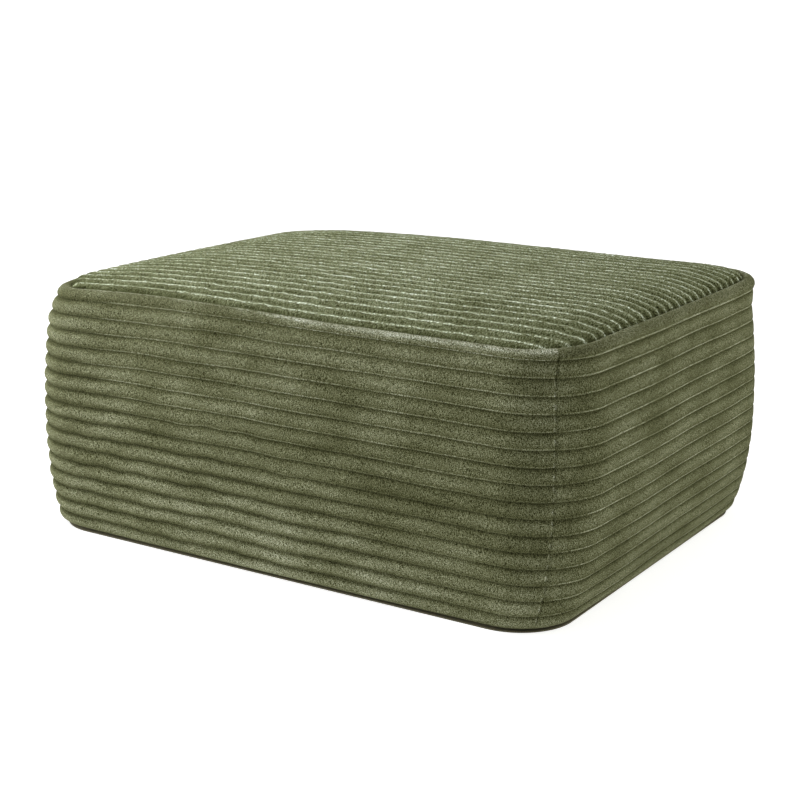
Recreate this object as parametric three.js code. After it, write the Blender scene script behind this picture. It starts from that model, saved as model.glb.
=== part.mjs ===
// A rectangular footstool covered in wide-wale corduroy: a crowned top panel, a ribbed side band
// and a dark cloth underneath. Millimetres, +Z up; the long sides run along X.
// The origin is the middle of the underside, where the stool rests on the floor.
import * as THREE from 'three';

// Overall size, measured over the ribs
const LENGTH = 900;
const WIDTH = 704;

// The corduroy
const RIB_COUNT = 17; // ribs of the band, one above the other, the rolled lip at the top among them
const RIB_RELIEF = 3.6; // how far a rib of the band stands proud of its grooves
const WALE_COUNT = 28; // wales of the top panel, front to back
const WALE_RELIEF = 2.6;
// A rib's section: place across it, share of its relief
const RIB_SECTION = [[0.16, 0.72], [0.5, 1], [0.84, 0.72]];

// The band's section from the first groove down to the floor, through the bottoms of its grooves: height,
// inset from the widest outline on the long sides and on the short sides, and the corner radius in plan
const BAND_SECTIONS = [
  { height: 345, longInset: 15, shortInset: 15, corner: 92 },
  { height: 302, longInset: 7, shortInset: 7, corner: 98 },
  { height: 237, longInset: 1, shortInset: 1, corner: 104 },
  { height: 193, longInset: 0, shortInset: 0, corner: 104 },
  { height: 128, longInset: 1, shortInset: 2, corner: 98 },
  { height: 63, longInset: 5, shortInset: 12, corner: 86 },
  { height: 20, longInset: 10, shortInset: 25, corner: 77 },
  { height: 10, longInset: 12, shortInset: 30, corner: 75 },
  { height: 4, longInset: 16, shortInset: 37, corner: 74 },
];
const TUCKED_EDGE = { height: 2.4, longInset: 28, shortInset: 50, corner: 66 }; // turned in under the stool
const SIDE_BOW = 3; // how far the middle of a side stands out beyond its ends

// The top rib is a rolled lip: points from the first groove over its crest, and then the seam with the top
// panel
const ROLLED_LIP = [
  { height: 350.5, inset: 13.6 },
  { height: 355.6, inset: 15 },
  { height: 359.8, inset: 18.2 },
  { height: 362.2, inset: 22.4 },
  { height: 362.4, inset: 26 },
];
const SEAM = { height: 360.4, inset: 29, corner: 84 };

// The filling has settled: at the seam the left end (-X) and the four corners lie lower, fading out to the
// floor
const END_SAG = 14.5;
const CORNER_SAG = 2;
// ... the front of the lip and of the top panel lies lower too, above the first groove, fading out towards
// the back as a power of the place across the stool, and to a share of it between two places on the left
const FRONT_DIP = { depth: 6.5, from: 345, power: 5, fadeFrom: 150, fadeTo: 420, leftShare: 0.25 };
// ... and the lip leans a little to the right and back. The back right corner stands higher and squarer at
// the lip, and below it is tucked in, the more the higher, between two heights
const LIP_LEAN = { x: 4, y: 3, from: 315 };
const BACK_CORNER = { lift: 23, spread: 7, tuck: 7, tuckFrom: 140, tuckTo: 280 };

// The seam between band and top panel
const SEAT_HEIGHT = 337; // the panel's flat underside lies here, inside the band's edge
const SEAM_ALLOWANCE = 1; // the band's upright edge slopes in by this much
const SEAM_GAP = 1.2; // between the upright edges of the two pieces
const REST_GAP = 0.4; // between pieces that lie on each other
const SEAM_DROP = 0.3; // the panel's edge lies this much below the band's

// The top panel's rim rolls up out of the seam, and its crown rises on from there: height of each, the
// distance from the edge over which it rises, and how much faster it rises near the edge
const RIM = { rise: 4.5, run: 12, power: 2 };
// Towards the front the whole half of the panel slopes, and its rim rises with the crown.
const CROWN = { rise: 14, runFromLeft: 140, runFromRight: 75, runFromBack: 130, power: 2.1, frontPower: 3 };

// The band's upright closing seam, on the corner between the front and the right side
// Its place and half width in degrees of the corner's arc
const CLOSING_SEAM = { turn: 45, halfWidth: 4, depth: 2.6 };

// The cloth that closes the underside
const BASE_THICKNESS = 2;
const BASE_MARGIN = 13; // the cloth reaches this far outside the band's tucked edge

// How finely curved outlines are stepped
const CORNER_STEPS = 7;
const LONG_STEPS = 5;
const SHORT_STEPS = 4;
const PANEL_COLUMNS = 16;

// Plan outline of a rounded rectangle with bowed sides, as stations that name the same places at every
// height.
// A station is { side, along } on a side, or { corner, turn } on a corner's arc.
function planStations() {
  const stations = [];
  const seamTurns = [-1, 0, 1].map((side) => CLOSING_SEAM.turn + side * CLOSING_SEAM.halfWidth);
  for (let corner = 0; corner < 4; corner += 1) {
    const turns = [];
    for (let i = 0; i <= CORNER_STEPS; i += 1) {
      turns.push((90 * i) / CORNER_STEPS);
    }
    if (corner === 3) {
      const kept = turns.filter((turn) => Math.abs(turn - CLOSING_SEAM.turn) > 2 * CLOSING_SEAM.halfWidth);
      turns.splice(0, turns.length, ...kept, ...seamTurns);
      turns.sort((a, b) => a - b);
    }
    turns.forEach((turn) => stations.push({ corner, turn }));
    const steps = corner % 2 === 0 ? LONG_STEPS : SHORT_STEPS;
    for (let i = 1; i < steps; i += 1) {
      stations.push({ side: corner, along: i / steps });
    }
  }
  return stations;
}

// How far a side stands out at a place along its straight part, where `share` goes from -1 at one end to 1
function bowAt(share) {
  return SIDE_BOW * (1 - THREE.MathUtils.clamp(share, -1, 1) ** 2);
}

// The point of a plan outline at a station, with its outward direction. halfX and halfY are the outline's
// half sizes, and a `bowed` outline's sides stand out in the middle.
function planPoint(station, halfX, halfY, radius, bowed) {
  const centre = (corner) => ({
    x: (corner === 0 || corner === 3 ? 1 : -1) * (halfX - radius),
    y: (corner < 2 ? 1 : -1) * (halfY - radius),
  });
  if (station.side === undefined) {
    const angle = THREE.MathUtils.degToRad(station.corner * 90 + station.turn);
    const c = centre(station.corner);
    const out = { x: Math.cos(angle), y: Math.sin(angle) };
    return { x: c.x + radius * out.x, y: c.y + radius * out.y, out };
  }
  const angle = THREE.MathUtils.degToRad(station.side * 90 + 90);
  const out = { x: Math.round(Math.cos(angle)), y: Math.round(Math.sin(angle)) };
  const from = centre(station.side);
  const to = centre((station.side + 1) % 4);
  const bulge = radius + (bowed ? bowAt(2 * station.along - 1) : 0);
  return {
    x: from.x + (to.x - from.x) * station.along + out.x * bulge,
    y: from.y + (to.y - from.y) * station.along + out.y * bulge,
    out,
  };
}

// One closed surface from rings of points that all have the same number of points: first ring lowest,
// counter-clockwise seen from above. The first and last rings are closed with flat caps.
function closedRings(rings) {
  const count = rings[0].length;
  const positions = rings.flat().flatMap((p) => [p.x, p.y, p.z]);
  const index = [];
  for (let r = 0; r + 1 < rings.length; r += 1) {
    for (let i = 0; i < count; i += 1) {
      const a = r * count + i;
      const b = r * count + ((i + 1) % count);
      index.push(a, b, b + count, a, b + count, a + count);
    }
  }
  const cap = (ring, first, up) => {
    const contour = ring.map((p) => new THREE.Vector2(p.x, p.y));
    THREE.ShapeUtils.triangulateShape(contour, []).forEach(([a, b, c]) => {
      index.push(...(up ? [a, b, c] : [a, c, b]).map((i) => first + i));
    });
  };
  cap(rings[0], 0, false);
  cap(rings[rings.length - 1], (rings.length - 1) * count, true);
  return indexedGeometry(positions, index);
}

function indexedGeometry(positions, index) {
  const geometry = new THREE.BufferGeometry();
  geometry.setAttribute('position', new THREE.Float32BufferAttribute(positions, 3));
  geometry.setIndex(index);
  geometry.computeVertexNormals();
  return geometry;
}

// Height, insets and corner radius of the grooves, at equal steps along the band's section below the lip.
function bandGrooves() {
  const longCurve = new THREE.SplineCurve(
    BAND_SECTIONS.map((s) => new THREE.Vector2(s.longInset, s.height)),
  );
  const other = new THREE.SplineCurve(
    BAND_SECTIONS.map((s) => new THREE.Vector2(s.shortInset, s.corner)),
  );
  const ribs = RIB_COUNT - 1;
  const grooves = [];
  for (let i = 0; i <= ribs; i += 1) {
    const t = longCurve.getUtoTmapping(i / ribs);
    const place = longCurve.getPoint(t);
    const rest = other.getPoint(t);
    grooves.push({ height: place.y, longInset: place.x, shortInset: rest.x, corner: rest.y });
  }
  return grooves;
}

// A ring of the band at a section, raised from the groove line by `relief` along `lean`, the section's
// outward direction in the upright plane { out, up }. The closing seam is drawn in where `grooved` is true,
// and a `level` ring keeps its height.
function bandRing(stations, section, relief, lean, grooved = true, level = false) {
  const halfX = LENGTH / 2 - RIB_RELIEF - SIDE_BOW - section.shortInset;
  const halfY = WIDTH / 2 - RIB_RELIEF - SIDE_BOW - section.longInset;
  return stations.map((station) => {
    const p = planPoint(station, halfX, halfY, section.corner, true);
    const inSeam = grooved && station.corner === 3 && station.turn === CLOSING_SEAM.turn;
    const push = relief * lean.out - (inSeam ? CLOSING_SEAM.depth : 0);
    const place = { x: p.x + p.out.x * push, y: p.y + p.out.y * push };
    return settled(place.x, place.y, section.height + relief * lean.up, level);
  });
}

// How much of the front's dip there is at a place along the stool
function dipShare(x) {
  const faded = THREE.MathUtils.smoothstep(-x, FRONT_DIP.fadeFrom, FRONT_DIP.fadeTo);
  return 1 - (1 - FRONT_DIP.leftShare) * faded;
}

// Where a point comes to lie as the filling settles. A `level` point keeps its height.
function settled(x, y, height, level = false) {
  const alongX = Math.abs(x) / (LENGTH / 2);
  const alongY = Math.abs(y) / (WIDTH / 2);
  const cornerShare = (alongX * alongY) ** 6;
  const end = END_SAG * (x < 0 ? alongX ** 2 : 0);
  const seamY = WIDTH / 2 - RIB_RELIEF - SIDE_BOW - SEAM.inset;
  const raised = (height - FRONT_DIP.from) / (SEAM.height - FRONT_DIP.from);
  const front = Math.max(-y / seamY, 0) ** FRONT_DIP.power * THREE.MathUtils.clamp(raised, 0, 1);
  const dip = FRONT_DIP.depth * front * dipShare(x);
  const down = (end + CORNER_SAG * cornerShare) * (height / SEAM.height) + dip;
  const top = THREE.MathUtils.smoothstep(height, LIP_LEAN.from, SEAM.height);
  const back = x > 0 && y > 0 ? cornerShare : 0;
  const { tuckFrom, tuckTo } = BACK_CORNER;
  const tucked = (1 - top) * THREE.MathUtils.smoothstep(height, tuckFrom, tuckTo);
  const aside = back * (top * BACK_CORNER.spread - tucked * BACK_CORNER.tuck);
  return {
    x: x + top * LIP_LEAN.x + aside,
    y: y + top * LIP_LEAN.y + aside,
    z: level ? height : height - down + back * top * BACK_CORNER.lift,
  };
}

function blend(a, b, t) {
  const mixed = {};
  Object.keys(a).forEach((key) => {
    mixed[key] = a[key] + (b[key] - a[key]) * t;
  });
  return mixed;
}

// A section of the band that has the same inset all round.
function evenSection(height, inset, corner) {
  return { height, longInset: inset, shortInset: inset, corner };
}

// The filled band: ribs from the tucked edge up to the rolled lip and the seam, then the step that the panel
// lies in.
function sideBand() {
  const stations = planStations();
  const grooves = bandGrooves();
  const flat = { out: 0, up: 0 };
  const rings = [bandRing(stations, TUCKED_EDGE, 0, flat, true, true)];
  for (let i = grooves.length - 1; i > 0; i -= 1) {
    const lower = grooves[i];
    const upper = grooves[i - 1];
    const run = Math.hypot(upper.height - lower.height, lower.longInset - upper.longInset);
    const lean = {
      out: (upper.height - lower.height) / run,
      up: (upper.longInset - lower.longInset) / run,
    };
    rings.push(bandRing(stations, lower, 0, lean));
    RIB_SECTION.forEach(([place, share]) => {
      rings.push(bandRing(stations, blend(lower, upper, place), share * RIB_RELIEF, lean));
    });
  }
  rings.push(bandRing(stations, grooves[0], 0, flat));
  ROLLED_LIP.forEach((point, i) => {
    const past = (i + 1) / (ROLLED_LIP.length + 1);
    const corner = THREE.MathUtils.lerp(grooves[0].corner, SEAM.corner, past);
    rings.push(bandRing(stations, evenSection(point.height, point.inset, corner), 0, flat));
  });
  rings.push(bandRing(stations, evenSection(SEAM.height, SEAM.inset, SEAM.corner), 0, flat, false));
  const stepSection = evenSection(SEAM.height, SEAM.inset + SEAM_ALLOWANCE, SEAM.corner);
  const step = bandRing(stations, stepSection, 0, flat, false);
  rings.push(step.map(({ x, y }) => ({ x, y, z: SEAT_HEIGHT })));
  return closedRings(rings);
}

// How far a rise is complete at a distance from the panel's edge, from 0 at the edge to 1 at the end of its run.
function risen(distance, run, power) {
  const left = 1 - Math.min(Math.max(distance, 0) / run, 1);
  return 1 - left ** power;
}

// The top panel: rows of points along X, four to a wale, over a flat underside. Its sides bow out with the
// band.
function topPanel() {
  const inset = SEAM.inset + SEAM_ALLOWANCE + SEAM_GAP;
  const halfX = LENGTH / 2 - RIB_RELIEF - SIDE_BOW - inset;
  const halfY = WIDTH / 2 - RIB_RELIEF - SIDE_BOW - inset;
  const radius = SEAM.corner;
  const edgeHeight = SEAM.height - SEAM_DROP;
  const underside = SEAT_HEIGHT + REST_GAP;
  const waleRows = [];
  for (let wale = 0; wale < WALE_COUNT; wale += 1) {
    waleRows.push([wale, 0]);
    RIB_SECTION.forEach(([place, share]) => waleRows.push([wale + place, share]));
  }
  waleRows.push([WALE_COUNT, 0]);
  const positions = [];
  const index = [];
  const columns = PANEL_COLUMNS + 1;
  waleRows.forEach(([place, share]) => {
    const y = -halfY + (2 * halfY * place) / WALE_COUNT;
    const beyond = Math.max(Math.abs(y) - (halfY - radius), 0);
    const reach = halfX - radius + Math.sqrt(radius ** 2 - beyond ** 2);
    for (let column = 0; column < columns; column += 1) {
      const across = (2 * column) / PANEL_COLUMNS - 1;
      const x = reach * Math.sin((across * Math.PI) / 2);
      const cornerX = Math.max(Math.abs(x) - (halfX - radius), 0);
      const inCorner = cornerX > 0 && beyond > 0;
      const distance = inCorner
        ? radius - Math.hypot(cornerX, beyond)
        : Math.min(halfX - Math.abs(x), halfY - Math.abs(y));
      const fromFront = risen(halfY + y, halfY, CROWN.frontPower);
      const rim = RIM.rise * risen(distance, RIM.run, RIM.power) * (1 - dipShare(x) * (1 - fromFront));
      const run = x < 0 ? CROWN.runFromLeft : CROWN.runFromRight;
      const crown = CROWN.rise * risen(reach - Math.abs(x), run, CROWN.power)
        * risen(halfY - y, CROWN.runFromBack, CROWN.power) * fromFront;
      const wale = WALE_RELIEF * share * risen(distance, RIM.run, 1);
      const height = edgeHeight + rim + crown + wale;
      const bowedX = x * (1 + bowAt(y / (halfY - radius)) / halfX);
      const bowedY = y * (1 + bowAt(x / (halfX - radius)) / halfY);
      const point = settled(bowedX, bowedY, height);
      positions.push(point.x, point.y, point.z);
    }
  });
  const rows = waleRows.length;
  const at = (row, column) => row * columns + column;
  for (let row = 0; row + 1 < rows; row += 1) {
    for (let column = 0; column + 1 < columns; column += 1) {
      const [a, b] = [at(row, column), at(row, column + 1)];
      const [c, d] = [at(row + 1, column + 1), at(row + 1, column)];
      index.push(a, b, c, a, c, d);
    }
  }
  const rim = [];
  for (let column = 0; column < columns; column += 1) rim.push(at(0, column));
  for (let row = 1; row < rows; row += 1) rim.push(at(row, columns - 1));
  for (let column = columns - 2; column >= 0; column -= 1) rim.push(at(rows - 1, column));
  for (let row = rows - 2; row > 0; row -= 1) rim.push(at(row, 0));
  const first = positions.length / 3;
  rim.forEach((i) => positions.push(positions[3 * i], positions[3 * i + 1], underside));
  rim.forEach((i, n) => {
    const next = (n + 1) % rim.length;
    index.push(first + n, first + next, rim[next], first + n, rim[next], i);
  });
  const contour = rim.map((i) => new THREE.Vector2(positions[3 * i], positions[3 * i + 1]));
  THREE.ShapeUtils.triangulateShape(contour, []).forEach(([a, b, c]) => {
    index.push(first + a, first + c, first + b);
  });
  return indexedGeometry(positions, index);
}

// The cloth under the stool: a flat sheet that closes the underside and rests on the floor.
function baseCloth() {
  const section = {
    longInset: TUCKED_EDGE.longInset - BASE_MARGIN,
    shortInset: TUCKED_EDGE.shortInset - BASE_MARGIN,
    corner: TUCKED_EDGE.corner + BASE_MARGIN,
  };
  const halfX = LENGTH / 2 - RIB_RELIEF - section.shortInset;
  const halfY = WIDTH / 2 - RIB_RELIEF - section.longInset;
  const stations = planStations();
  const ring = (height) => stations.map((station) => {
    const p = planPoint(station, halfX, halfY, section.corner, false);
    return { x: p.x, y: p.y, z: height };
  });
  return closedRings([ring(0), ring(BASE_THICKNESS)]);
}

function piece(name, geometry, color, roughness) {
  const material = new THREE.MeshStandardMaterial({ color, roughness, metalness: 0 });
  const mesh = new THREE.Mesh(geometry, material);
  mesh.name = name;
  return mesh;
}

const footstool = new THREE.Group();
footstool.name = 'footstool';
footstool.add(
  piece('top_panel', topPanel(), 0x858b6c, 0.95),
  piece('side_band', sideBand(), 0x696b4e, 0.95),
  piece('base_cloth', baseCloth(), 0x24221c, 0.9),
);

export default footstool;
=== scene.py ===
# A rectangular footstool covered in wide-wale corduroy: a crowned top panel, one ribbed band round the sides
# and a dark cloth underneath. Metres, +Z up; the long sides run along X and the front is the side at -Y.
import math

import bpy
import numpy as np
from mathutils import Matrix, Vector


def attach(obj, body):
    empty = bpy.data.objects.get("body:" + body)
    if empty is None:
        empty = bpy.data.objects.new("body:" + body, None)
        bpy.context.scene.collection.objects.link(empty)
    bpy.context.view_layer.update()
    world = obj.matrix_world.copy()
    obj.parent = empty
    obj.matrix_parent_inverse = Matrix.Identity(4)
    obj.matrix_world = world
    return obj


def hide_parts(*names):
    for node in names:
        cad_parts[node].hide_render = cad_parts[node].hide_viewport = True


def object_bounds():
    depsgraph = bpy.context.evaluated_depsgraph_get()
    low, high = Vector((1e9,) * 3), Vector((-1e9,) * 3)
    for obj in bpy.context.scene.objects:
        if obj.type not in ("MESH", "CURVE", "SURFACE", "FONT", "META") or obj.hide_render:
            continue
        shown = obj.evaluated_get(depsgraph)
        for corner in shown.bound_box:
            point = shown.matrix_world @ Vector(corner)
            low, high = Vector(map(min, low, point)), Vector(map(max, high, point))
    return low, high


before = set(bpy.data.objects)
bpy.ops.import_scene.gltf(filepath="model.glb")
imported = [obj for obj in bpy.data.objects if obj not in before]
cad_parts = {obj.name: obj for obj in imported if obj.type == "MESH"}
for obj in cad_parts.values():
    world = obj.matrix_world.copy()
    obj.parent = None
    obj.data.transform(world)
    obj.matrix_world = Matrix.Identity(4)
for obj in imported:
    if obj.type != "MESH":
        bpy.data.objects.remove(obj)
cad_low, cad_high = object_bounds()

# Camera: stands off the stool's right front corner, a little above it, and leans by less than a degree.
# It looks at a point near the middle of the stool, and its lens is a short telephoto.
CAMERA_AZIMUTH = math.radians(31.91)
CAMERA_ELEVATION = math.radians(13.97)
CAMERA_ROLL = math.radians(0.72)
CAMERA_DISTANCE = 2.4395
CAMERA_TARGET = Vector((0, 0, 0.1915))
CAMERA_LENS = 74.15
CAMERA_SHIFT = (-0.00558, -0.01408)

back = Vector((
    math.sin(CAMERA_AZIMUTH) * math.cos(CAMERA_ELEVATION),
    -math.cos(CAMERA_AZIMUTH) * math.cos(CAMERA_ELEVATION),
    math.sin(CAMERA_ELEVATION),
))
level_right = Vector((math.cos(CAMERA_AZIMUTH), math.sin(CAMERA_AZIMUTH), 0))
level_up = back.cross(level_right)
right = level_right * math.cos(CAMERA_ROLL) + level_up * math.sin(CAMERA_ROLL)
up = level_up * math.cos(CAMERA_ROLL) - level_right * math.sin(CAMERA_ROLL)
camera = bpy.data.objects.new("camera", bpy.data.cameras.new("camera"))
camera.data.lens = CAMERA_LENS
camera.data.shift_x, camera.data.shift_y = CAMERA_SHIFT
facing = Matrix((right, up, back)).transposed().to_4x4()
camera.matrix_world = Matrix.Translation(CAMERA_TARGET + back * CAMERA_DISTANCE) @ facing
bpy.context.collection.objects.link(camera)
bpy.context.scene.camera = camera

# Side band: one long strip of corduroy sewn round the firm filling, its ribs lying level one above the other.
# The top rib rolls over beside the seam with the top panel, the lowest is turned in under the stool, and the
# strip's two ends are sewn together upright at the right front corner.
RIBS = 17
RIB_RELIEF = 0.0036
SIDE_BOW = 0.003
# The section through the bottoms of the grooves, from the first groove to the floor
BAND_SECTION = {
    "height": (0.345, 0.302, 0.237, 0.193, 0.128, 0.063, 0.020, 0.010, 0.004),
    "inset_long": (0.015, 0.007, 0.001, 0.0, 0.001, 0.005, 0.010, 0.012, 0.016),
    "inset_short": (0.015, 0.007, 0.001, 0.0, 0.002, 0.012, 0.025, 0.030, 0.037),
    "corner": (0.092, 0.098, 0.104, 0.104, 0.098, 0.086, 0.077, 0.075, 0.074),
}
# The rolled lip, from the seam over its crest down to the first groove
LIP_SECTION = {
    "height": (0.3604, 0.3624, 0.3622, 0.3598, 0.3556, 0.3505, 0.345),
    "inset": (0.029, 0.026, 0.0224, 0.0182, 0.015, 0.0136, 0.015),
    "corner": (0.084, 0.0853, 0.0867, 0.088, 0.0893, 0.0907, 0.092),
}
TUCKED_EDGE = {"height": 0.0024, "inset_long": 0.028, "inset_short": 0.050, "corner": 0.066}
SEAT_HEIGHT = 0.337
SEAM_INSET = LIP_SECTION["inset"][0]
SEAM_HEIGHT = LIP_SECTION["height"][0]
SEAM_CORNER = LIP_SECTION["corner"][0]
# The filling has settled: the left end lies lower, the corners a little too, and the lip leans to the right
# and back, above a height
END_SAG = 0.0145
CORNER_SAG = 0.002
CORNER_POWER = 6
LIP_LEAN = (0.004, 0.003)
LEAN_FROM = 0.315
# The back right corner stands higher and squarer at the lip, and below it is tucked in, the more the higher,
# between two heights
BACK_CORNER = {"lift": 0.023, "spread": 0.007, "tuck": 0.007, "tuck_from": 0.140, "tuck_to": 0.280}
# Above a height the front of the stool lies lower, fading out towards the back, and going left it fades to a
# share of itself between two places, measured from the middle to the left
FRONT_DIP = {"depth": 0.0065, "above": 0.345, "power": 5}
DIP_FADE = {"from": -0.120, "to": 0.250, "share": 0.15}
# Rows across one rib, close together at its grooves, and columns round the stool
RIB_ROWS = np.array([0, 0.025, 0.07, 0.16, 0.3, 0.46, 0.62, 0.76, 0.87, 0.94, 0.98])
LONG_COLUMNS = 112
SHORT_COLUMNS = 72
CORNER_COLUMNS = 20
# The closing seam's place on its corner's arc at the top, the middle and the floor, and the finer columns on
# both sides of it, in degrees; how wide and deep it draws the cloth in, and how often it puckers
CLOSING_TURN = (43, 43, 41)
CLOSING_COLUMNS = {"reach": 6, "clear": 6.5, "count": 17}
CLOSING_WIDTH = 1.0
CLOSING_DEPTH = 0.0026
CLOSING_REACH = 38
PUCKERS_PER_RIB = 1.5
PUCKER = {"mean": 0.6, "more": 0.4}

half_long = cad_high[0] - RIB_RELIEF - SIDE_BOW
half_short = cad_high[1] - RIB_RELIEF - SIDE_BOW


def smooth_curve(points, samples):
    """Points along a smooth curve through `points` (rows): between two of them a cubic, whose slope at each
    point is half the step between that point's neighbours."""
    points = np.asarray(points, float)
    place = np.linspace(0, len(points) - 1, samples)
    i = np.minimum(place.astype(int), len(points) - 2)
    t = (place - i)[:, None]
    before, start = points[np.maximum(i - 1, 0)], points[i]
    end, after = points[i + 1], points[np.minimum(i + 2, len(points) - 1)]
    leave, arrive = (end - before) / 2, (after - start) / 2
    return (
        start * (2 * t**3 - 3 * t**2 + 1)
        + leave * (t**3 - 2 * t**2 + t)
        + end * (3 * t**2 - 2 * t**3)
        + arrive * (t**3 - t**2)
    )


def at_shares(curve, shares):
    """The curve's columns at shares 0 to 1 of its length, measured in its first two columns."""
    steps = np.hypot(*np.diff(curve[:, :2], axis=0).T)
    run = np.append(0, np.cumsum(steps)) / steps.sum()
    return [np.interp(shares, run, column) for column in curve.T]


def waves(around, seed, fewest, count):
    """A gentle wander, mostly from -1 to 1, that closes on itself: `count` sines of seeded phases and weights
    that go round `fewest`, fewest + 1, ... times while `around` goes from 0 to 1."""
    rng = np.random.default_rng(seed)
    rounds = fewest + np.arange(count)
    phases = rng.uniform(0, 2 * np.pi, count)
    weights = rng.uniform(0.5, 1, count)
    angles = 2 * np.pi * rounds * np.asarray(around)[..., None] + phases
    return (weights * np.sin(angles)).sum(-1) / np.sqrt(count)


def hump(distance, width):
    """1 at no distance, fading smoothly to nothing a few widths away."""
    return np.exp(-((distance / width) ** 2))


def smooth_step(value, start, end):
    """0 before `start`, 1 after `end`, and 3 s^2 - 2 s^3 of the share s of the way between them."""
    s = np.clip((value - start) / (end - start), 0, 1)
    return s * s * (3 - 2 * s)


def blend(start, end, share):
    """`start` at a share of 0 and `end` at a share of 1."""
    return start + (end - start) * share


def plan_columns():
    """Columns once round the stool's outline, counter-clockwise from the closing seam. A point of an
    outline is share * (half size - corner radius) + outward * (corner radius + bow), and the outward
    direction of a corner column is at 90 degrees * corner + turn. The columns of a side belong to the
    corner before it, at a turn of 90."""
    share, turn, corner, bow = [], [], [], []
    corners = np.array([(1, 1), (-1, 1), (-1, -1), (1, -1)])
    for k in range(4):
        turns = np.linspace(0, 90, CORNER_COLUMNS, endpoint=False)
        if k == 3:
            from_middle = turns - CLOSING_TURN[1]
            reach = CLOSING_COLUMNS["reach"]
            near = CLOSING_TURN[1] + np.linspace(-reach, reach, CLOSING_COLUMNS["count"])
            turns = np.sort(np.append(turns[np.abs(from_middle) > CLOSING_COLUMNS["clear"]], near))
        share.append(np.tile(corners[k], (len(turns), 1)))
        turn.append(turns)
        corner.append(np.full(len(turns), k))
        bow.append(np.zeros(len(turns)))
        count = LONG_COLUMNS if k % 2 == 0 else SHORT_COLUMNS
        along = (np.arange(count) / count)[:, None]
        share.append(corners[k] * (1 - along) + corners[(k + 1) % 4] * along)
        turn.append(np.full(count, 90.0))
        corner.append(np.full(count, k))
        bow.append((4 * along * (1 - along))[:, 0])
    joined = [np.concatenate(part) for part in (share, turn, corner, bow)]
    start = np.argmin(np.abs(joined[1] - CLOSING_TURN[1]) + 90 * (joined[2] != 3))
    return [np.roll(part, -start, axis=0) for part in joined]


def dip_share(x):
    """How much of the front's dip there is at places along the stool."""
    return blend(1, DIP_FADE["share"], smooth_step(-x, DIP_FADE["from"], DIP_FADE["to"]))


def settled(x, y, height):
    """Where points come to lie as the filling settles. Down: END_SAG times the square of the place along the
    left half, and a little at the corners, fading to the floor, and the front's dip. Aside: the lean grows
    smoothly from LEAN_FROM up to the seam."""
    along, across_width = np.abs(x) / cad_high[0], np.abs(y) / cad_high[1]
    corner_share = (along * across_width) ** CORNER_POWER
    down = (END_SAG * np.where(x < 0, along**2, 0) + CORNER_SAG * corner_share) * height / SEAM_HEIGHT
    raised = np.clip((height - FRONT_DIP["above"]) / (SEAM_HEIGHT - FRONT_DIP["above"]), 0, 1)
    front_share = np.maximum(-y / (half_short - SEAM_INSET), 0) ** FRONT_DIP["power"]
    down = down + FRONT_DIP["depth"] * front_share * raised * dip_share(x)
    top = smooth_step(height, LEAN_FROM, SEAM_HEIGHT)
    back_corner = np.where((x > 0) & (y > 0), corner_share, 0)
    tucked = (1 - top) * smooth_step(height, BACK_CORNER["tuck_from"], BACK_CORNER["tuck_to"])
    aside = back_corner * (top * BACK_CORNER["spread"] - tucked * BACK_CORNER["tuck"])
    return np.stack([
        x + top * LIP_LEAN[0] + aside,
        y + top * LIP_LEAN[1] + aside,
        height - down + back_corner * top * BACK_CORNER["lift"],
    ], -1)


def new_piece(name, points, faces, places, masks):
    """An object from points and faces. `places` is the cloth's own map, a pair of numbers for each corner
    of the first faces, and `masks` the named numbers of the first points. The rest get 0."""
    mesh = bpy.data.meshes.new(name)
    mesh.from_pydata(points.tolist(), [], faces)
    cloth = np.zeros((len(mesh.loops), 2))
    cloth[: len(places)] = places
    mesh.uv_layers.new(name="cloth").data.foreach_set("uv", cloth.ravel())
    for label, values in masks.items():
        numbers = np.zeros(len(points))
        numbers[: values.size] = values.ravel()
        mesh.attributes.new(label, "FLOAT", "POINT").data.foreach_set("value", numbers)
    mesh.polygons.foreach_set("use_smooth", np.ones(len(mesh.polygons), bool))
    mesh.update()
    piece = bpy.data.objects.new(name, mesh)
    bpy.context.collection.objects.link(piece)
    return piece


def closed_piece(name, grid, places, masks):
    """A piece from a grid of points, rows x columns x 3, closed round its columns, with the first and last
    rows closed by a fan to their middles. `places` is the cloth's own map, rows x (columns + 1) x 2. Faces
    point outwards where the rows go down and the columns counter-clockwise."""
    rows, columns = grid.shape[:2]
    ends = np.stack([grid[0].mean(0), grid[-1].mean(0)])
    points = np.concatenate([grid.reshape(-1, 3), ends])
    r, c = np.meshgrid(np.arange(rows - 1), np.arange(columns), indexing="ij")
    n = (c + 1) % columns
    quads = np.stack([r * columns + c, (r + 1) * columns + c, (r + 1) * columns + n, r * columns + n], -1)
    ring = np.arange(columns)
    step = (ring + 1) % columns
    top = np.stack([np.full(columns, rows * columns), ring, step], -1)
    last = (rows - 1) * columns
    low = np.stack([np.full(columns, rows * columns + 1), last + step, last + ring], -1)
    faces = quads.reshape(-1, 4).tolist() + top.tolist() + low.tolist()
    corners = np.stack([places[r, c], places[r + 1, c], places[r + 1, c + 1], places[r, c + 1]], -2)
    return new_piece(name, points, faces, corners.reshape(-1, 2), masks)


share, turn, corner, bow = plan_columns()
columns = len(turn)

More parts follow.
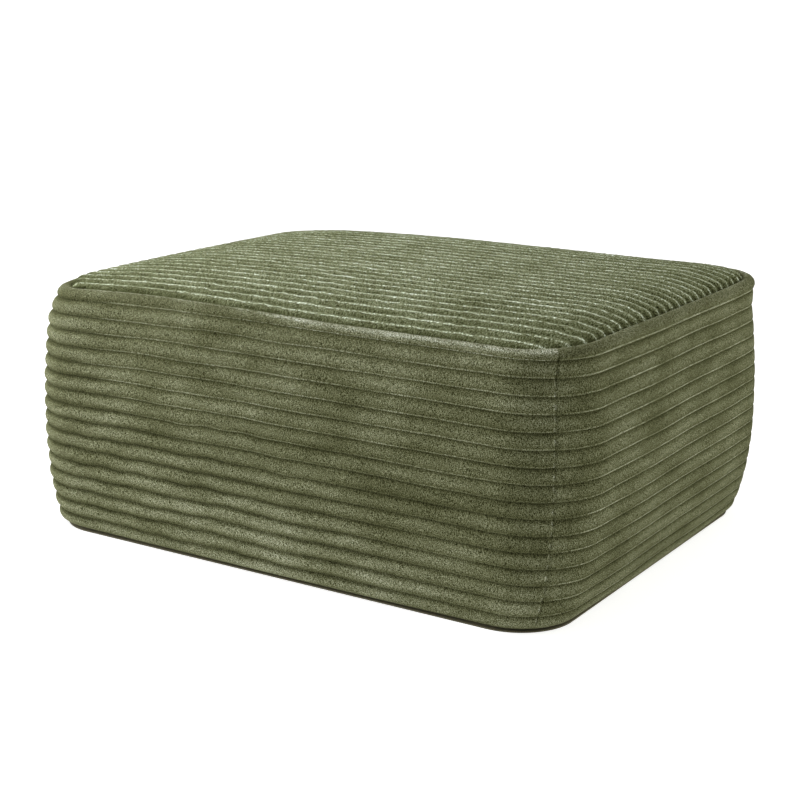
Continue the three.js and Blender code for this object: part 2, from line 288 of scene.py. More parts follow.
# Rows of the band: the seat inside the seam, the lip, sixteen ribs and the tucked edge. `across` counts the
# ribs, and its fraction is the place across one.
section_names = ("inset_long", "height", "inset_short", "corner")
lip_names = ("inset", "height", "inset", "corner")
section = smooth_curve(np.stack([BAND_SECTION[name] for name in section_names], 1), samples=900)
lip = smooth_curve(np.stack([LIP_SECTION[name] for name in lip_names], 1), samples=200)
SEAT_ACROSS, TUCKED_ACROSS = -0.4, RIBS + 0.6
rib_number = np.repeat(np.arange(1, RIBS), len(RIB_ROWS))
rib_place = np.tile(RIB_ROWS, RIBS - 1)
across = np.concatenate([[SEAT_ACROSS], RIB_ROWS, rib_number + rib_place, [RIBS, TUCKED_ACROSS]])
rows = len(across)
around = np.arange(columns) / columns

# Each groove wanders a little up and down on its way round, in shares of a rib: partly together with the
# others, and in a ripple of shorter waves. Both grow where the cloth is loose, round a place on the front,
# and the ripple does so over some ribs going down.
WANDER = {"own": 0.6, "together": 0.4, "everywhere": 0.03, "loose": 0.06}
RIPPLE = {"everywhere": 0.008, "loose": 0.05, "from_rib": 4, "over_ribs": 6}
LOOSE = {"along": -0.8, "reach": 1.0}
FIRST_GROOVE_SHARE = 0.6
in_front = (corner == 2) | ((corner == 3) & (turn < CLOSING_TURN[1]))
on_left = (corner == 1) & (turn == 90)
together = waves(around, seed=31, fewest=6, count=14)
wander = np.stack([
    WANDER["own"] * waves(around, seed=40 + k, fewest=4, count=16) + WANDER["together"] * together
    for k in range(RIBS + 1)
])
ripple = np.stack([waves(around, seed=140 + k, fewest=26, count=26) for k in range(RIBS + 1)])
loose = hump(share[:, 0] - LOOSE["along"], LOOSE["reach"]) * ((corner == 2) & (turn == 90))
low_groove = np.clip((np.arange(RIBS + 1) - RIPPLE["from_rib"]) / RIPPLE["over_ribs"], 0, 1)[:, None]
groove_wander = wander * (WANDER["everywhere"] + WANDER["loose"] * loose)
groove_wander = groove_wander + ripple * (RIPPLE["everywhere"] + RIPPLE["loose"] * loose * low_groove)
groove_wander[[0, -1]] = 0
groove_wander[1] *= FIRST_GROOVE_SHARE


def wandering_share(k, place):
    """The share of the band's section at a place across rib k, with its grooves moved by their wander."""
    upper = (k - 1 + groove_wander[k]) / (RIBS - 1)
    lower = (k + groove_wander[k + 1]) / (RIBS - 1)
    return blend(upper, lower, place)


rib_rows = [wandering_share(k, place) for k, place in zip(rib_number, rib_place)]
rib_values = at_shares(section, np.stack([*rib_rows, np.ones(columns)]))
lip_values = at_shares(lip, RIB_ROWS)
seat_values = (SEAM_INSET, SEAM_HEIGHT, SEAM_INSET, SEAM_CORNER)
inset_long, height, inset_short, radius = (
    np.concatenate([
        np.full((1, columns), seat),
        np.tile(on_lip[:, None], columns),
        on_ribs,
        np.full((1, columns), TUCKED_EDGE[name]),
    ])
    for seat, on_lip, on_ribs, name in zip(seat_values, lip_values, rib_values, section_names)
)

# How round the ribs are: full soft tubes at the lower left of the front, reaching further right the lower
# they lie, and at the left end; flatter with tight grooves elsewhere. Along the stool -1 to 1 are its ends.
# The same numbers pick between the painted shading across a flat rib and a round one
TUBES = {"from_rib": 5.5, "over_ribs": 6, "strength": 1.5, "until": 0.35, "fade": 1.1}
LOW_TUBES = {"from_rib": 9, "over_ribs": 6, "further": 0.9}
END_TUBES_REACH = 0.3
FRONT_ROUNDNESS = 0.35
ROUNDNESS_VARIES = 0.12
low_share = np.clip((across - TUBES["from_rib"]) / TUBES["over_ribs"], 0, 1)[:, None]
lowest_share = np.clip((across - LOW_TUBES["from_rib"]) / LOW_TUBES["over_ribs"], 0, 1)[:, None]
round_until = TUBES["until"] + LOW_TUBES["further"] * lowest_share
left_share = np.clip((round_until - share[:, 0]) / TUBES["fade"], 0, 1) * (in_front | on_left)
left_end = hump(share[:, 0] + 1, END_TUBES_REACH)
roundness = np.maximum(left_share * low_share * TUBES["strength"] + left_end, FRONT_ROUNDNESS * in_front)
roundness = np.clip(roundness + ROUNDNESS_VARIES * waves(around, seed=7, fewest=3, count=6), 0, 1)

# A painted highlight along each groove, a thin bright line: clear on the right side, growing from the closing
# seam, thin and broken on the front and fainter low on it, and fading out where the ribs are round
GROOVE_HIGHLIGHT = {"front": 0.6, "at_seam": 0.1, "right": 1.0, "elsewhere": 0.7, "power": 0.8, "varies": 0.3}
GROOVE_HIGHLIGHT_FADE = {"from_rib": 6.5, "to_rib": 10.5, "amount": 0.8, "from_round": 0.4}
GROOVE_HIGHLIGHT_DRIFT = 0.07
towards_right = np.clip((turn - CLOSING_TURN[1]) / (90 - CLOSING_TURN[1]), 0, 1)
beside_seam = blend(GROOVE_HIGHLIGHT["at_seam"], GROOVE_HIGHLIGHT["right"], towards_right ** GROOVE_HIGHLIGHT["power"])
line = np.select([in_front, corner == 3], [GROOVE_HIGHLIGHT["front"], beside_seam], GROOVE_HIGHLIGHT["elsewhere"])
faded = smooth_step(across, GROOVE_HIGHLIGHT_FADE["from_rib"], GROOVE_HIGHLIGHT_FADE["to_rib"])[:, None] * in_front
drifting = around + GROOVE_HIGHLIGHT_DRIFT * across[:, None] / RIBS
line = line * (1 - GROOVE_HIGHLIGHT_FADE["amount"] * faded)
line = line * (1 + GROOVE_HIGHLIGHT["varies"] * waves(drifting, seed=61, fewest=9, count=20))
line = np.clip(line * (1 - smooth_step(roundness, GROOVE_HIGHLIGHT_FADE["from_round"], 1)), 0, 1)

# A rib's relief across its place t: 1 - |2 t - 1| to a power, low for a round rib and high for a flat one.
# Its crest hangs a little below its middle, its height swells along it, and long dents run over the ribs.
FLAT_RIB = {"power": 4.7, "fullness": 0.9, "height": 0.55}
ROUND_RIB = {"power": 2.1, "fullness": 1.25, "height": 1.2}
CREST_HANG = 0.86
SWELL = 0.14
DENT_DEPTH = 0.0013
DENT_DRIFT = 0.02
hung = np.where((across >= 1) & (across < RIBS), across % 1, 0) ** CREST_HANG
power, fullness, rib_height = (blend(FLAT_RIB[name], ROUND_RIB[name], roundness) for name in FLAT_RIB)
swell = np.stack([waves(around, seed=90 + k, fewest=5, count=12) for k in range(RIBS + 1)])[across.astype(int)]
rib_profile = 1 - np.abs(2 * hung[:, None] - 1) ** power
relief = rib_profile * fullness * rib_height * RIB_RELIEF * (1 + SWELL * swell)
dented = ((across > 0.1) & (across < RIBS - 0.5))[:, None]
dents = DENT_DEPTH * waves(around + DENT_DRIFT * across[:, None] / RIBS, seed=3, fewest=5, count=10) * dented

# The closing seam draws the cloth in and puckers it. Near it the columns slide with its place on the arc.
FAR = 90  # from the seam in degrees, off its corner
closing_turn = np.interp(across / RIBS, (0, 0.5, 1), CLOSING_TURN)[:, None]
slide = closing_turn - CLOSING_TURN[1]
nearness = np.clip(1 - np.abs(turn - CLOSING_TURN[1]) / CLOSING_REACH, 0, 1)
on_closing_corner = (corner == 3) & (turn < 90)
angle_turn = turn + slide * nearness * on_closing_corner
from_seam = np.where(on_closing_corner, angle_turn - closing_turn, FAR)
seam_rows = (across > 0.5)[:, None]
puckering = np.sin(across * 2 * np.pi * PUCKERS_PER_RIB)[:, None]
drawn_in = CLOSING_DEPTH * hump(from_seam, CLOSING_WIDTH) * seam_rows
drawn_in = drawn_in * (PUCKER["mean"] + PUCKER["more"] * puckering)

angle = np.radians(90 * corner + angle_turn)
outward = np.stack([np.cos(angle), np.sin(angle)], -1)
distance = radius + bow * SIDE_BOW + relief + dents - drawn_in
band_x = share[:, 0] * (half_long - inset_short - radius) + outward[..., 0] * distance
band_y = share[:, 1] * (half_short - inset_long - radius) + outward[..., 1] * distance
# At the front left corner the lip lies flatter, level with the seam
lip_crest = np.clip(height - SEAM_HEIGHT, 0, None) * (across[:, None] > 0)
flattened = np.where(corner == 2, np.sin(np.radians(2 * turn)), 0)
band_points = settled(band_x, band_y, height - lip_crest * flattened)
band_points[0, :, 2] = SEAT_HEIGHT
band_points[-1, :, 2] = TUCKED_EDGE["height"]

# Painted highlights: a jagged bright line on the lip's upper edge, wider towards the right of the front; some
# painted light over the whole lip, most in the front's middle; and dashes on the puckers beside the closing
# seam. A pair of values is for the left of the front and its right.
LIP_EDGE_HIGHLIGHT = {"place": (0.2, 0.28), "width": (0.06, 0.14), "fullness": 0.95, "jagged": 0.6}
LIP_EDGE_HIGHLIGHT_WIDENS = {"from": -0.2, "to": 0.3}
LIP_EDGE_HIGHLIGHT_AMOUNT = {"front": 0.95, "elsewhere": 0.35}
LIP_HIGHLIGHT = {"amount": 0.12, "elsewhere": 0.2, "from": -0.15, "to": 0.35}
LIP_HIGHLIGHT_FADE = {"amount": 0.7, "from": 0.5, "to": 1}
PUCKER_HIGHLIGHTS = {"turn": -0.8, "width": 0.6, "from_rib": 1.6}
on_lip = (across < 1)[:, None]
rightwards = smooth_step(share[:, 0], LIP_EDGE_HIGHLIGHT_WIDENS["from"], LIP_EDGE_HIGHLIGHT_WIDENS["to"]) * in_front
edge_place, edge_width = (blend(*LIP_EDGE_HIGHLIGHT[name], rightwards) for name in ("place", "width"))
lip_edge_highlight = LIP_EDGE_HIGHLIGHT["fullness"] + LIP_EDGE_HIGHLIGHT["jagged"] * waves(around, seed=5, fewest=40, count=60)
lip_edge_highlight = lip_edge_highlight * np.where(in_front, LIP_EDGE_HIGHLIGHT_AMOUNT["front"], LIP_EDGE_HIGHLIGHT_AMOUNT["elsewhere"])
lip_edge_highlight = lip_edge_highlight * np.where(corner == 2, (turn / 90) ** 2, 1)
lip_edge_highlight = lip_edge_highlight * hump(across[:, None] - edge_place, edge_width)
past_middle = smooth_step(share[:, 0], LIP_HIGHLIGHT_FADE["from"], LIP_HIGHLIGHT_FADE["to"])
front_middle = smooth_step(share[:, 0], LIP_HIGHLIGHT["from"], LIP_HIGHLIGHT["to"])
front_middle = front_middle * (1 - LIP_HIGHLIGHT_FADE["amount"] * past_middle)
lip_highlight = LIP_HIGHLIGHT["amount"] * np.where(in_front, front_middle, LIP_HIGHLIGHT["elsewhere"])
pucker_highlights = hump(from_seam - PUCKER_HIGHLIGHTS["turn"], PUCKER_HIGHLIGHTS["width"]) * np.clip(puckering, 0, 1)
pucker_highlights = pucker_highlights * (across > PUCKER_HIGHLIGHTS["from_rib"])[:, None]
light = np.clip((lip_edge_highlight + lip_highlight) * on_lip + pucker_highlights, 0, 1)

# Painted light and shade on the band: painted shade in the closing seam, most on the lip, round its corner,
# across the middle of the front's right half and on the left of the front's lip, and painted light low on the
# front
SEAM_SHADE = {"width": 0.6, "above": 0.7, "below": 0.25, "above_rib": 2.2}
CORNER_SHADE = {"amount": 0.2, "turn": 62, "width": 20}
RIGHT_SHADE = {"amount": 0.22, "along": 0.7, "reach": 0.7, "rib": 8.5, "ribs": 3.5}
LOW_LIGHT = {"amount": 0.32, "reach": 0.65, "from_rib": 10, "to_rib": 14}
LEFT_LIP_SHADE = {"amount": 0.12, "from": -0.3, "to": 0.2}
seam_depth = np.where(across < SEAM_SHADE["above_rib"], SEAM_SHADE["above"], SEAM_SHADE["below"])[:, None]
in_seam = hump(from_seam, SEAM_SHADE["width"]) * seam_depth * seam_rows
round_corner = hump(turn - CORNER_SHADE["turn"], CORNER_SHADE["width"]) * (corner == 3)
round_corner = round_corner * ((across > 0.3) & (across < RIBS - 1))[:, None]
right_middle = hump(share[:, 0] - RIGHT_SHADE["along"], RIGHT_SHADE["reach"]) * in_front
right_middle = right_middle * hump(across - RIGHT_SHADE["rib"], RIGHT_SHADE["ribs"])[:, None]
low_front = hump(share[:, 0], LOW_LIGHT["reach"]) * in_front
low_front = low_front * smooth_step(across, LOW_LIGHT["from_rib"], LOW_LIGHT["to_rib"])[:, None]
left_lip = (1 - smooth_step(share[:, 0], LEFT_LIP_SHADE["from"], LEFT_LIP_SHADE["to"])) * in_front * on_lip
shade = (1 - in_seam) * (1 - CORNER_SHADE["amount"] * round_corner)
shade = shade * (1 - RIGHT_SHADE["amount"] * right_middle) * (1 + LOW_LIGHT["amount"] * low_front)
shade = shade * (1 - LEFT_LIP_SHADE["amount"] * left_lip)

waist = np.stack([band_x, band_y], -1)[rows // 2]
girth = np.append(0, np.cumsum(np.hypot(*np.diff(np.append(waist, waist[:1], axis=0), axis=0).T)))
band_places = np.stack(np.broadcast_arrays(girth[None, :], across[:, None]), -1)
band_masks = {"round": roundness, "line": line, "light": light, "shade": shade}
band = closed_piece("side_band_cover", band_points, band_places, band_masks)

# The looks of the corduroy. Ramps are pairs of place and grey level: the pile's speckle and brushed patches,
# where across a rib the painted highlight line lies, and the painted shade and highlight across a flat rib and
# a round one. The gains are how far the painted highlights brighten the colour.
SPECKLE = ((0.42, 0.05), (0.5, 0.9), (0.58, 2.75))
BRUSHED = ((0.3, 0.72), (0.5, 1.0), (0.7, 1.32))
GROOVE_HIGHLIGHT_PLACE = ((0.0, 0.0), (0.86, 0.0), (0.895, 1.0), (0.95, 1.0), (0.985, 0.0))
BAND_FLAT = ((0.0, 0.62), (0.1, 0.8), (0.3, 1.1), (0.5, 1.2), (0.68, 1.05), (0.84, 0.72), (1.0, 0.6))
BAND_ROUND = ((0.0, 0.6), (0.1, 0.72), (0.25, 1.2), (0.5, 1.25), (0.7, 1.0), (0.86, 0.66), (1.0, 0.6))
BAND_COLOUR = (0.088, 0.092, 0.042)
GROOVE_HIGHLIGHT_GAIN = 3.4
HIGHLIGHT_GAIN = 2.6
RAGGED_SCALE = 240
STREAK_SCALE = (650, 5, 1)
BRUSHED_SCALE = (11, 0.55, 1)
# The cloth's blue share grows with its lightness: pale pile is greyer, shaded pile greener
BLUE_POWER = 1.3


def pile_group():
    """Short cut pile, as two masks: fine speckle with short streaks across the rib, and long patches along
    the ribs where the pile lies another way. Inputs: the cloth's map, in metres along and ribs across, the
    fineness of the speckle, and the share of streaks in it."""
    group = bpy.data.node_groups.new("corduroy_pile", "ShaderNodeTree")
    group.interface.new_socket("Cloth", in_out="INPUT", socket_type="NodeSocketVector")
    group.interface.new_socket("Fineness", in_out="INPUT", socket_type="NodeSocketFloat")
    group.interface.new_socket("Streaks", in_out="INPUT", socket_type="NodeSocketFloat")
    group.interface.new_socket("Speckle", in_out="OUTPUT", socket_type="NodeSocketFloat")
    group.interface.new_socket("Brushed", in_out="OUTPUT", socket_type="NodeSocketFloat")
    nodes, links = group.nodes, group.links
    entry, exit_ = nodes.new("NodeGroupInput"), nodes.new("NodeGroupOutput")
    coordinates = nodes.new("ShaderNodeTexCoord")
    fine = nodes.new("ShaderNodeTexNoise")
    fine.inputs["Detail"].default_value = 4
    fine.inputs["Roughness"].default_value = 0.8
    links.new(coordinates.outputs["Object"], fine.inputs["Vector"])
    links.new(entry.outputs["Fineness"], fine.inputs["Scale"])
    streaks = nodes.new("ShaderNodeTexNoise")
    stretch = nodes.new("ShaderNodeMapping")
    stretch.inputs["Scale"].default_value = STREAK_SCALE
    streaks.inputs["Scale"].default_value = 1
    streaks.inputs["Detail"].default_value = 2
    links.new(entry.outputs["Cloth"], stretch.inputs["Vector"])
    links.new(stretch.outputs["Vector"], streaks.inputs["Vector"])
    mixed = nodes.new("ShaderNodeMix")
    links.new(entry.outputs["Streaks"], mixed.inputs["Factor"])
    links.new(fine.outputs["Fac"], mixed.inputs["A"])
    links.new(streaks.outputs["Fac"], mixed.inputs["B"])
    links.new(mixed.outputs["Result"], exit_.inputs["Speckle"])
    broad = nodes.new("ShaderNodeTexNoise")
    lengthen = nodes.new("ShaderNodeMapping")
    lengthen.inputs["Scale"].default_value = BRUSHED_SCALE
    broad.inputs["Scale"].default_value = 1
    broad.inputs["Detail"].default_value = 3
    links.new(entry.outputs["Cloth"], lengthen.inputs["Vector"])
    links.new(lengthen.outputs["Vector"], broad.inputs["Vector"])
    links.new(broad.outputs["Fac"], exit_.inputs["Brushed"])
    return group


def shade_ramp(nodes, stops):
    """A colour ramp of grey levels at places 0 to 1."""
    ramp = nodes.new("ShaderNodeValToRGB")
    elements = ramp.color_ramp.elements
    while len(elements) < len(stops):
        elements.new(0.5)
    for element, (position, level) in zip(elements, stops):
        element.position = position
        element.color = (level, level, level, 1)
    return ramp


def multiply(nodes, links, a, b):
    """The product of two colours."""
    mix = nodes.new("ShaderNodeMix")
    mix.data_type, mix.blend_type = "RGBA", "MULTIPLY"
    mix.inputs["Factor"].default_value = 1
    links.new(a, mix.inputs["A"])
    links.new(b, mix.inputs["B"])
    return mix.outputs["Result"]


def by_mask(nodes, links, name, factor, full):
    """A grey level that goes from 1 to `full` as the mesh's mask `name`, times `factor`, goes from 0 to 1."""
    mask = nodes.new("ShaderNodeAttribute")
    mask.attribute_name = name
    scaled = nodes.new("ShaderNodeMath")
    scaled.operation = "MULTIPLY"
    links.new(mask.outputs["Fac"], scaled.inputs[0])
    links.new(factor, scaled.inputs[1])
    ramp = shade_ramp(nodes, ((0.0, 1.0), (1.0, full)))
    links.new(scaled.outputs[0], ramp.inputs["Fac"])
    return ramp.outputs["Color"]


def corduroy(name, colour, flat_stops, round_stops, fineness, streaks, ragged):
    """Corduroy: its colour is shaded across each rib by two ramps of painted shade and highlight, one for flat
    ribs and one for round ones, and varied by the pile's speckle and brushed patches; the speckle also raises
    the surface. `ragged` moves the painted shading across the rib from place to place, as a share of the rib.
    The mesh's numbers `round`, `line`, `light` and `shade` give how round the ribs are, a painted highlight
    line along a groove, painted highlights on the lip and the puckers, and painted light and shade."""
    material = bpy.data.materials.new(name)
    material.use_nodes = True
    nodes, links = material.node_tree.nodes, material.node_tree.links
    shader = nodes["Principled BSDF"]
    shader.inputs["Roughness"].default_value = 0.95
    shader.inputs["Sheen Weight"].default_value = 0.06
    shader.inputs["Sheen Roughness"].default_value = 0.4
    shader.inputs["Sheen Tint"].default_value = (*[c / max(colour) for c in colour], 1)
    shader.inputs["Specular IOR Level"].default_value = 0.05
    cloth = nodes.new("ShaderNodeUVMap")
    cloth.uv_map = "cloth"
    pile = nodes.new("ShaderNodeGroup")
    pile.node_tree = pile_nodes
    pile.inputs["Fineness"].default_value = fineness
    pile.inputs["Streaks"].default_value = streaks
    links.new(cloth.outputs["UV"], pile.inputs["Cloth"])
    split = nodes.new("ShaderNodeSeparateXYZ")
    links.new(cloth.outputs["UV"], split.inputs[0])
    coordinates = nodes.new("ShaderNodeTexCoord")
    edge_noise = nodes.new("ShaderNodeTexNoise")
    edge_noise.inputs["Scale"].default_value = RAGGED_SCALE
    edge_noise.inputs["Detail"].default_value = 2
    links.new(coordinates.outputs["Object"], edge_noise.inputs["Vector"])
    aside = nodes.new("ShaderNodeMath")
    aside.operation = "MULTIPLY_ADD"
    aside.inputs[1].default_value = ragged
    links.new(edge_noise.outputs["Fac"], aside.inputs[0])
    links.new(split.outputs["Y"], aside.inputs[2])
    centred = nodes.new("ShaderNodeMath")
    centred.operation = "SUBTRACT"
    centred.inputs[1].default_value = ragged / 2
    links.new(aside.outputs[0], centred.inputs[0])
    within = nodes.new("ShaderNodeMath")
    within.operation = "FRACT"
    links.new(centred.outputs[0], within.inputs[0])
    flat_ramp, round_ramp = shade_ramp(nodes, flat_stops), shade_ramp(nodes, round_stops)
    links.new(within.outputs[0], flat_ramp.inputs["Fac"])
    links.new(within.outputs[0], round_ramp.inputs["Fac"])
    rounded = nodes.new("ShaderNodeAttribute")
    rounded.attribute_name = "round"
    ribs = nodes.new("ShaderNodeMix")
    ribs.data_type = "RGBA"
    links.new(rounded.outputs["Fac"], ribs.inputs["Factor"])
    links.new(flat_ramp.outputs["Color"], ribs.inputs["A"])
    links.new(round_ramp.outputs["Color"], ribs.inputs["B"])
    base = nodes.new("ShaderNodeRGB")
    base.outputs[0].default_value = (*colour, 1)
    speckle_ramp = shade_ramp(nodes, SPECKLE)
    links.new(pile.outputs["Speckle"], speckle_ramp.inputs["Fac"])
    brushed_ramp = shade_ramp(nodes, BRUSHED)
    links.new(pile.outputs["Brushed"], brushed_ramp.inputs["Fac"])
    at_groove_highlight = shade_ramp(nodes, GROOVE_HIGHLIGHT_PLACE)
    links.new(within.outputs[0], at_groove_highlight.inputs["Fac"])
    shaded = multiply(nodes, links, ribs.outputs["Result"], speckle_ramp.outputs["Color"])
    shaded = multiply(nodes, links, shaded, brushed_ramp.outputs["Color"])
    # Painted highlights: the line along each groove, and those on the lip and the puckers
    for mask, factor, gain in (("line", at_groove_highlight, GROOVE_HIGHLIGHT_GAIN), ("light", speckle_ramp, HIGHLIGHT_GAIN)):
        shaded = multiply(nodes, links, shaded, by_mask(nodes, links, mask, factor.outputs["Color"], gain))
    shade = nodes.new("ShaderNodeAttribute")
    shade.attribute_name = "shade"
    shaded = multiply(nodes, links, shaded, shade.outputs["Color"])
    blue = nodes.new("ShaderNodeMath")
    blue.operation = "POWER"
    blue.inputs[1].default_value = BLUE_POWER
    links.new(shaded, blue.inputs[0])
    tinted = nodes.new("ShaderNodeCombineColor")
    links.new(shaded, tinted.inputs["Red"])
    links.new(shaded, tinted.inputs["Green"])
    links.new(blue.outputs[0], tinted.inputs["Blue"])
    links.new(multiply(nodes, links, base.outputs[0], tinted.outputs["Color"]), shader.inputs["Base Color"])
    bump = nodes.new("ShaderNodeBump")
    bump.inputs["Strength"].default_value = 0.5
    bump.inputs["Distance"].default_value = 0.0012
    links.new(pile.outputs["Speckle"], bump.inputs["Height"])
    links.new(bump.outputs["Normal"], shader.inputs["Normal"])
    return material


pile_nodes = pile_group()
band.data.materials.append(corduroy(
    "corduroy_band", BAND_COLOUR, BAND_FLAT, BAND_ROUND, fineness=880, streaks=0.15, ragged=0.06,
))
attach(band, "root")
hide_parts("side_band")

# Top panel: a flat-cut piece of the same corduroy over the filling, its wales running the length of the
# stool. It is sewn to the lip all round, so its rim rolls down into the seam and its middle is crowned.
WALES = 29
WALE_RELIEF = 0.0028
WALE_POWER = 2.6
WALE_JITTER = 0.1
WALE_END = 0.005  # the relief grows over this distance from the seam
WALE_WANDER = 0.0022
WANDER_RUN = 0.03  # the wander grows over this distance from the seam
FIRST_CUT = 0.8  # the front seam cuts this share off the first wale
SEAM_GAP = 0.0004
REST_GAP = 0.0004
SEAM_DROP = 0.0003
RIM = {"rise": 0.0036, "run": 0.012, "power": 2, "more_at_left": 0.003, "left_reach": 0.05}
# Towards the front the whole half of the panel slopes, and its rim rises with the crown
CROWN = {"rise": 0.015, "run_from_left": 0.14, "run_from_right": 0.075, "run_from_back": 0.13, "power": 2.1}
FRONT_POWER = 3
WALE_ROWS = np.array([0, 0.03, 0.09, 0.18, 0.28, 0.38, 0.48, 0.58, 0.68, 0.78, 0.88, 0.96])
PANEL_COLUMNS = 200
EVEN_SHARE = 0.35  # how evenly the columns are spread; the less evenly, the closer they stand at both ends
panel_inset = SEAM_INSET + SEAM_GAP
panel_long = half_long - panel_inset
panel_short = half_short - panel_inset


def risen(distance, run, power):
    """How complete a rise is at a distance from the edge: 1 - (1 - distance / run) to the power, up to 1."""
    return 1 - (1 - np.clip(distance / run, 0, 1)) ** power


wale_across = np.append((np.arange(WALES)[:, None] + WALE_ROWS).ravel(), WALES)
wale_across = wale_across[wale_across > FIRST_CUT]
wale_place = wale_across % 1
wale_place[-1] = 0
wale_number = np.minimum(wale_across.astype(int), WALES - 1)
row_y = panel_short * (2 * (wale_across - wale_across[0]) / (WALES - wale_across[0]) - 1)
beyond = np.maximum(np.abs(row_y) - (panel_short - SEAM_CORNER), 0)
reach = panel_long - SEAM_CORNER + np.sqrt(np.maximum(SEAM_CORNER**2 - beyond**2, 0))
even = np.linspace(-1, 1, PANEL_COLUMNS + 1)
spread = blend(np.sin(even * np.pi / 2), even, EVEN_SHARE)
panel_x = reach[:, None] * spread[None, :]
wale_wander = np.stack([waves(spread / 2 + 0.5, seed=200 + k, fewest=3, count=28) for k in range(WALES + 1)])
wale_wander[[0, -1]] = 0
sway = WALE_WANDER * blend(wale_wander[wale_number], wale_wander[wale_number + 1], wale_place[:, None])
corner_x = np.maximum(np.abs(panel_x) - (panel_long - SEAM_CORNER), 0)
panel_y = np.broadcast_to(row_y[:, None], panel_x.shape)
edge_distance = np.where(
    (corner_x > 0) & (beyond[:, None] > 0),
    SEAM_CORNER - np.hypot(corner_x, beyond[:, None]),
    np.minimum(panel_long - np.abs(panel_x), panel_short - np.abs(panel_y)),
)
edge_distance = np.maximum(edge_distance, 0)
panel_y = panel_y + sway * risen(edge_distance, WANDER_RUN, 2)
bow_x = SIDE_BOW * (1 - np.clip(panel_y / (panel_short - SEAM_CORNER), -1, 1) ** 2)
bow_y = SIDE_BOW * (1 - np.clip(panel_x / (panel_long - SEAM_CORNER), -1, 1) ** 2)
rim_rise = RIM["rise"] + RIM["more_at_left"] * hump(panel_x + panel_long, RIM["left_reach"])
from_front_seam = panel_short + panel_y
from_front = risen(from_front_seam, panel_short, FRONT_POWER)
rim = rim_rise * risen(edge_distance, RIM["run"], RIM["power"]) * (1 - dip_share(panel_x) * (1 - from_front))
crown_run = np.where(panel_x < 0, CROWN["run_from_left"], CROWN["run_from_right"])
from_end = reach[:, None] - np.abs(panel_x)
crown = CROWN["rise"] * risen(from_end, crown_run, CROWN["power"])
crown = crown * risen(panel_short - panel_y, CROWN["run_from_back"], CROWN["power"]) * from_front
wale_profile = 1 - np.abs(2 * wale_place - 1) ** WALE_POWER
rng = np.random.default_rng(17)
jitter = 1 + WALE_JITTER * rng.standard_normal(panel_x.shape) * (wale_place > 0)[:, None]
wale = WALE_RELIEF * wale_profile[:, None] * risen(edge_distance, WALE_END, 1) * jitter
panel_height = SEAM_HEIGHT - SEAM_DROP + rim + crown + wale
panel_points = settled(panel_x * (1 + bow_x / panel_long), panel_y * (1 + bow_y / panel_short), panel_height)


def capped_piece(name, face, underside, places, masks):
    """A piece whose upper face is a grid of points, with an upright rim down to a flat underside closed by a
    fan."""
    rows, columns = face.shape[:2]
    points = face.reshape(-1, 3)
    at = np.arange(rows * columns).reshape(rows, columns)
    quads = np.stack([at[:-1, :-1], at[:-1, 1:], at[1:, 1:], at[1:, :-1]], -1).reshape(-1, 4)
    loop = np.concatenate([at[0, :-1], at[:-1, -1], at[-1, :0:-1], at[:0:-1, 0]])
    low = points[loop].copy()
    low[:, 2] = underside
    ring = len(points) + np.arange(len(loop))
    step = np.roll(ring, -1)
    walls = np.stack([ring, step, np.roll(loop, -1), loop], -1)
    fan = np.stack([np.full(len(loop), ring[-1] + 1), step, ring], -1)
    faces = quads.tolist() + walls.tolist() + fan.tolist()
    points = np.concatenate([points, low, [[0, 0, underside]]])
    return new_piece(name, points, faces, places.reshape(-1, 2)[quads.ravel()], masks)


# Painted light and shade on the panel's pile: painted light across the middle, painted shade along the front,
# beside the lip and at the left end, and in the hollows between the ridges at the ends of the wales
MIDDLE_LIGHT = {"level": 0.96, "amount": 0.19, "place": 0.03, "reach": 0.27}
FRONT_SHADE = {"amount": 0.1, "reach": 0.08}
LIP_SHADE = {"amount": 0.35, "reach": 0.009}
LEFT_SHADE = {"amount": 0.6, "reach": 0.012}
HOLLOW_SHADE = {"amount": 0.55, "reach": 0.011, "ridge_from": 0.5, "ridge_to": 0.9}
between_ridges = 1 - smooth_step(wale_profile, HOLLOW_SHADE["ridge_from"], HOLLOW_SHADE["ridge_to"])
hollow = hump(from_end, HOLLOW_SHADE["reach"]) * between_ridges[:, None]
in_middle = hump(panel_x - MIDDLE_LIGHT["place"], MIDDLE_LIGHT["reach"])
panel_shade = MIDDLE_LIGHT["level"] + MIDDLE_LIGHT["amount"] * in_middle
panel_shade = panel_shade - FRONT_SHADE["amount"] * hump(from_front_seam, FRONT_SHADE["reach"])
panel_shade = panel_shade * (1 - LEFT_SHADE["amount"] * hump(reach[:, None] + panel_x, LEFT_SHADE["reach"]))
panel_shade = panel_shade * (1 - LIP_SHADE["amount"] * hump(from_front_seam, LIP_SHADE["reach"]))
panel_shade = panel_shade * (1 - HOLLOW_SHADE["amount"] * hollow)
panel_places = np.stack(np.broadcast_arrays(panel_x, wale_across[:, None]), -1)
panel_masks = {"shade": panel_shade}
panel = capped_piece("top_panel_cover", panel_points, SEAT_HEIGHT + REST_GAP, panel_places, panel_masks)
TOP_COLOUR = (0.141, 0.155, 0.078)
# Across each wale: a painted highlight along its ridge and painted shade on its sides and in the valleys
TOP_STOPS = (
    (0.0, 0.6), (0.2, 0.78), (0.41, 0.9), (0.49, 2.5), (0.55, 2.5), (0.63, 0.8), (0.85, 0.65), (1.0, 0.6),
)
panel.data.materials.append(corduroy(
    "corduroy_top", TOP_COLOUR, TOP_STOPS, TOP_STOPS, fineness=800, streaks=0.35, ragged=0.24,
))
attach(panel, "root")
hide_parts("top_panel")

